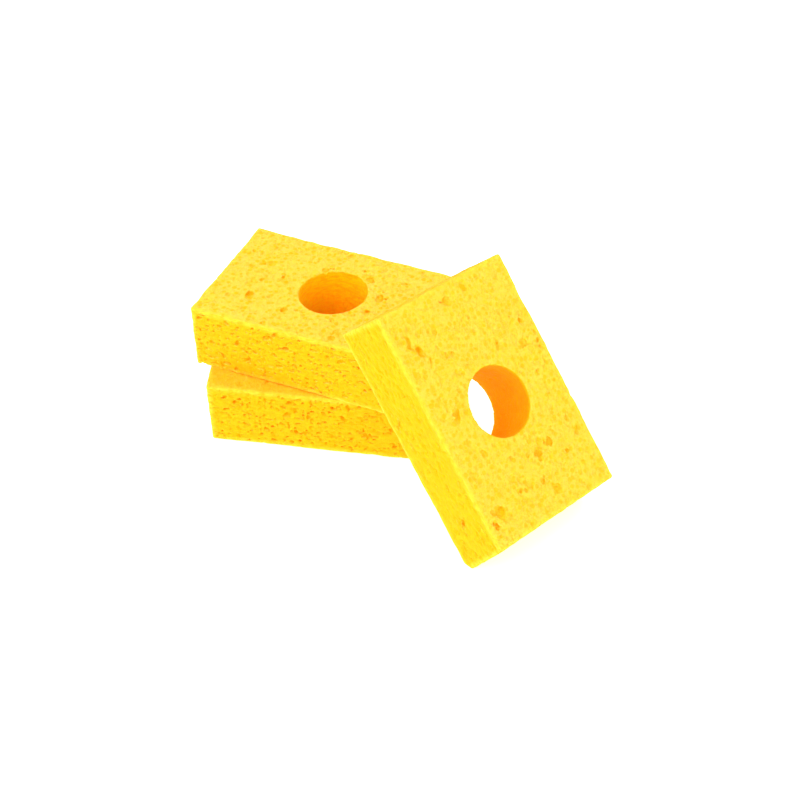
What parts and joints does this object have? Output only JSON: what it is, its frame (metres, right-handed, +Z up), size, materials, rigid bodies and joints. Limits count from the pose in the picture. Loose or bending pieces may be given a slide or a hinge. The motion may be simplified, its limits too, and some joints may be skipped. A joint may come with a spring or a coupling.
{
  "type": "soldering iron cleaning sponge set",
  "caption": "Yellow cellulose sponges for wiping soldering iron tips, each a block with a round hole, stacked flat and askew with another leaning on them.",
  "frame": {"origin": "centre of the lower sponge's hole, on the table that it lies on", "axes": "+X along the lower sponge's length, +Y along its width towards the back, +Z up along its hole"},
  "size_m": [0.142, 0.1149, 0.0735],
  "materials": {
    "cellulose_sponge": "matte, open-pored expanded cellulose, cut faces"
  },
  "bodies": {
    "lower_sponge": {"lower_sponge": "cellulose_sponge"},
    "upper_sponge": {"upper_sponge": "cellulose_sponge"},
    "leaning_sponge": {"leaning_sponge": "cellulose_sponge"}
  },
  "joints": [
    {"name": "upper_lift", "type": "slide", "parent": "lower_sponge", "child": "upper_sponge", "axis": [-0.8944, 0, 0.4472], "range_m": [0, 0.1]},
    {"name": "leaning_tilt", "type": "hinge", "parent": "lower_sponge", "child": "leaning_sponge", "pos_m": [0.06819, -0.05029, 0.0008], "axis": [0.6018, 0.7986, 0], "range_deg": [0, 46.5]}
  ]
}
